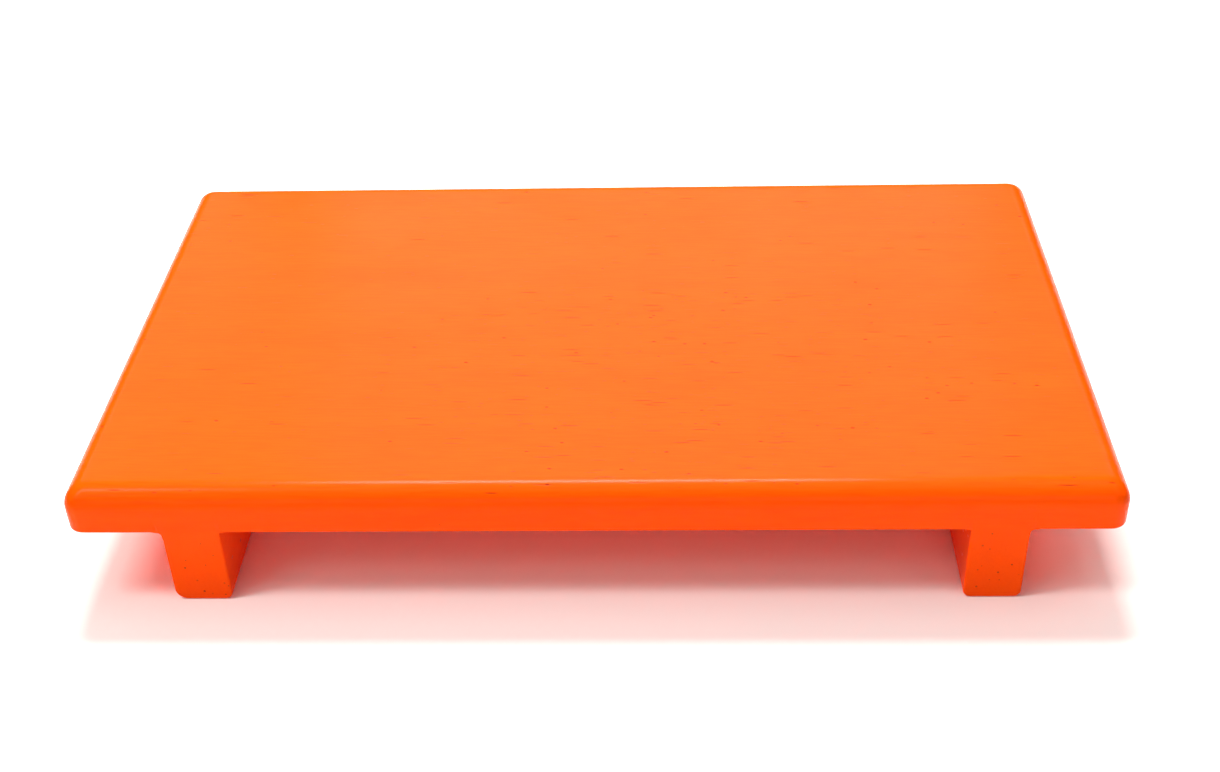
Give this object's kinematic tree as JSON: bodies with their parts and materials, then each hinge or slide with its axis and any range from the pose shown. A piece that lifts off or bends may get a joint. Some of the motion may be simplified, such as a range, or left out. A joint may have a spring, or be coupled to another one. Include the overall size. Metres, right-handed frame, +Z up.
{
  "type": "sushi geta board",
  "caption": "Low rectangular wooden serving board with rounded edges, raised on runner legs that slide into dovetail grooves underneath; painted orange.",
  "frame": {"origin": "on the ground under the middle of the board", "axes": "+Z up; X along the board's length; the front edge is towards -Y"},
  "size_m": [0.27, 0.16, 0.0355],
  "materials": {
    "board_paint": "satin orange paint over open-grained wood",
    "leg_paint": "satin orange paint over open-grained wood"
  },
  "bodies": {
    "root": {"top_board": "board_paint", "left_leg": "leg_paint", "right_leg": "leg_paint"}
  },
  "joints": []
}
